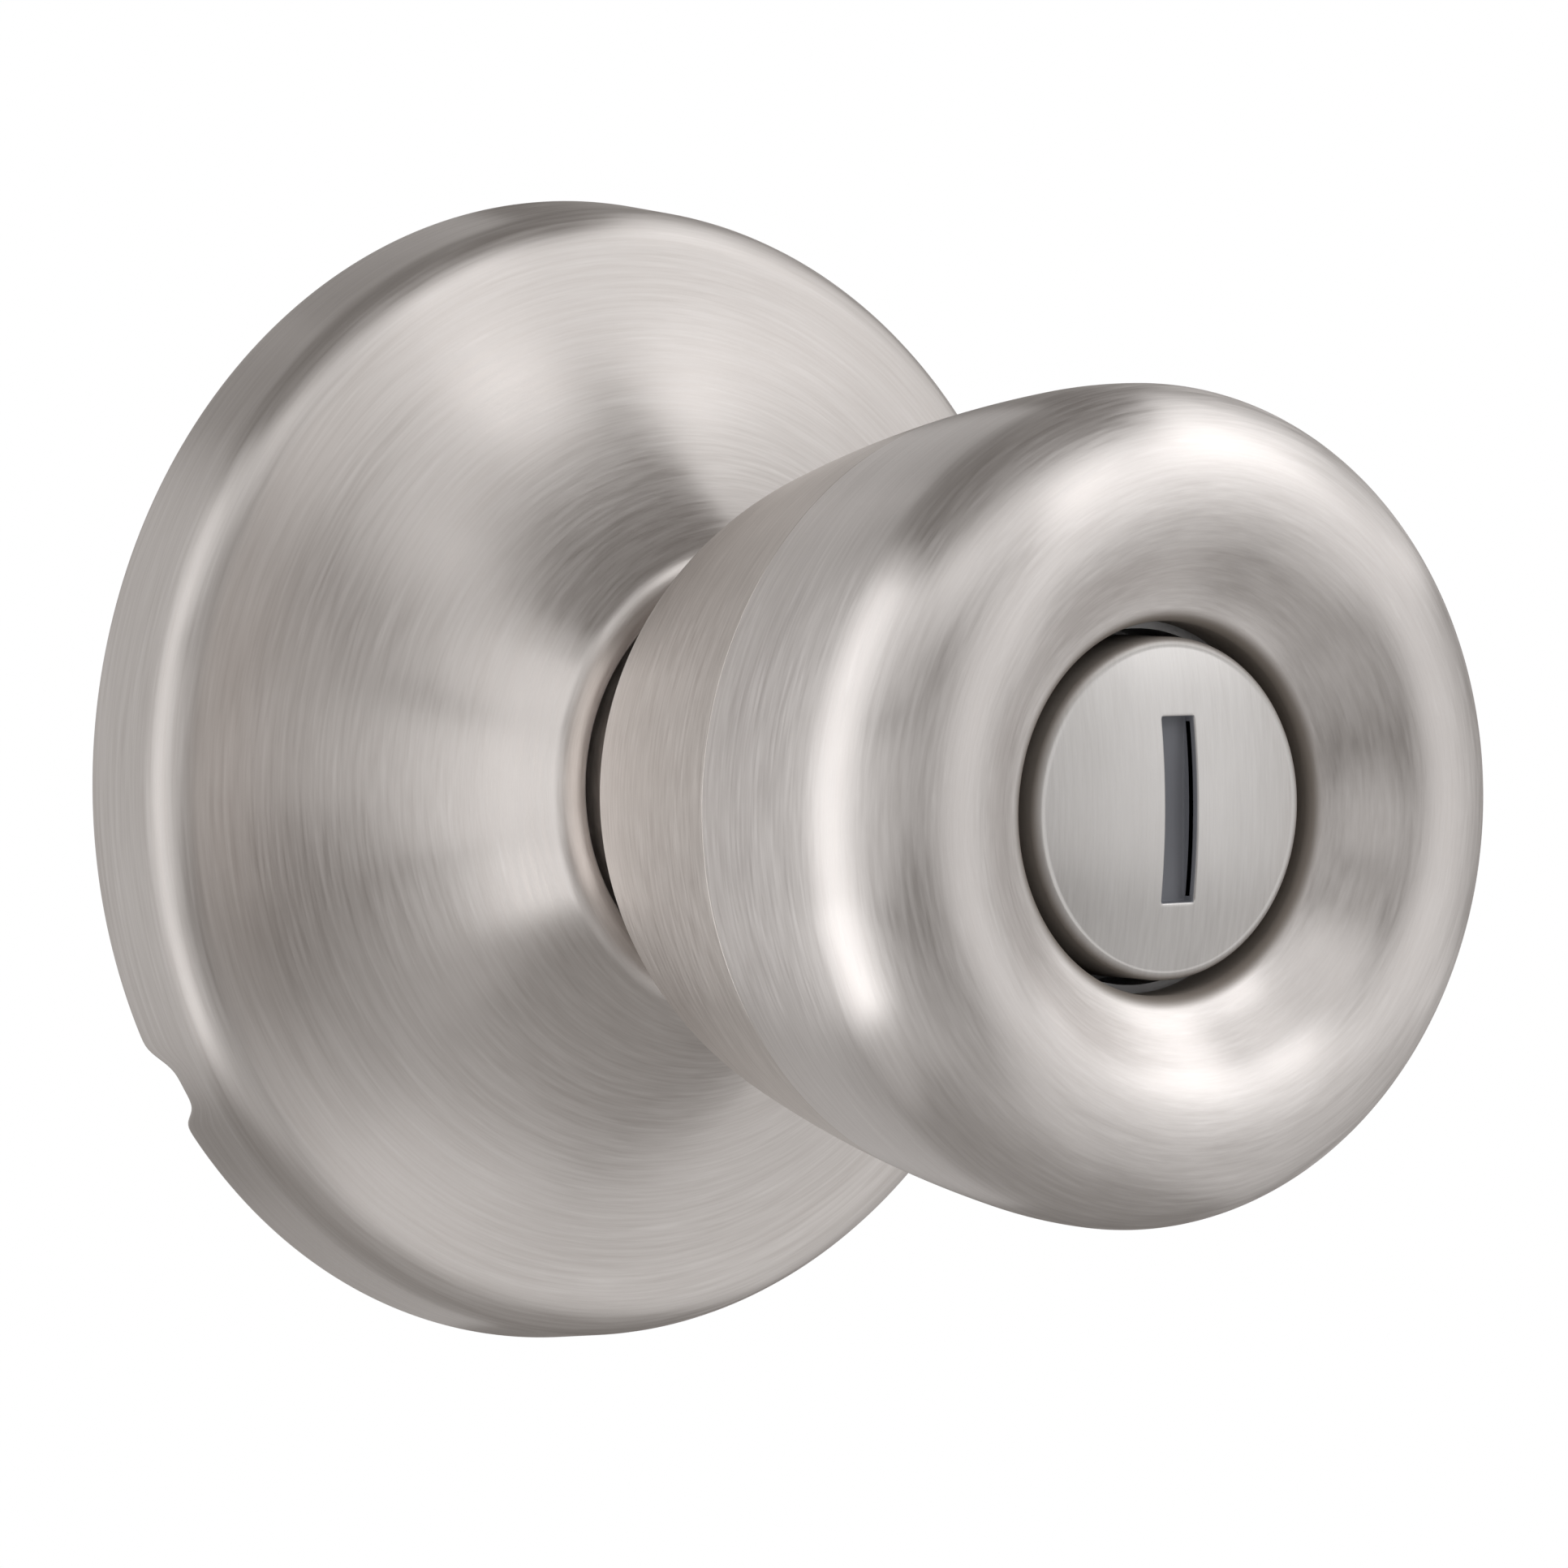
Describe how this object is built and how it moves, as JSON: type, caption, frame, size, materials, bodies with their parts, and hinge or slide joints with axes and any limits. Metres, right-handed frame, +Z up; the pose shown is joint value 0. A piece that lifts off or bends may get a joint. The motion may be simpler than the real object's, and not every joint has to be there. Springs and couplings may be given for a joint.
{
  "type": "door knob",
  "caption": "Outside half of a privacy door knob: round rose with a raised hub, bell-shaped sprung knob with a dished face, and a slotted release plug.",
  "frame": {"origin": "centre of the rose's back face, on the door face and on the knob's axis", "axes": "-Y along the knob's axis, out of the door towards the user; +Y into the door; +Z up; +X to the right seen from the front"},
  "size_m": [0.067, 0.1017, 0.067],
  "materials": {
    "satin_nickel": "satin brushed nickel plate",
    "zinc_steel": "zinc-plated pressed steel",
    "spring_steel": "oiled spring steel",
    "cast_zinc": "as-cast zinc alloy",
    "nylon": "natural nylon"
  },
  "bodies": {
    "door_side": {"rose": "satin_nickel", "rose_liner": "zinc_steel", "spring_cage": "zinc_steel", "cage_cover": "zinc_steel", "rear_bushing": "nylon", "front_bushing": "nylon", "thrust_washer": "zinc_steel", "return_spring": "spring_steel", "mounting_posts": "zinc_steel", "cage_rivets": "zinc_steel"},
    "knob": {"knob_rear_shell": "satin_nickel", "knob_front_shell": "satin_nickel", "knob_core": "cast_zinc", "shank": "zinc_steel", "drive_cam": "zinc_steel", "retaining_ring": "spring_steel", "spindle_adapter": "cast_zinc", "spindle": "zinc_steel", "spindle_pin": "spring_steel", "plug_housing": "cast_zinc", "housing_ring": "cast_zinc", "plug_wave_washer": "spring_steel"},
    "release": {"release_plug": "satin_nickel", "plug_clip": "spring_steel", "release_bar": "zinc_steel"}
  },
  "joints": [
    {"name": "knob_turn", "type": "hinge", "parent": "door_side", "child": "knob", "pos_m": [0, 0, 0], "axis": [0, -1, 0], "range_deg": [-60, 60], "stiffness_Nm_per_rad": 0.3},
    {"name": "release_turn", "type": "hinge", "parent": "knob", "child": "release", "pos_m": [0, 0, 0], "axis": [0, -1, 0], "range_deg": [0, 90]}
  ]
}
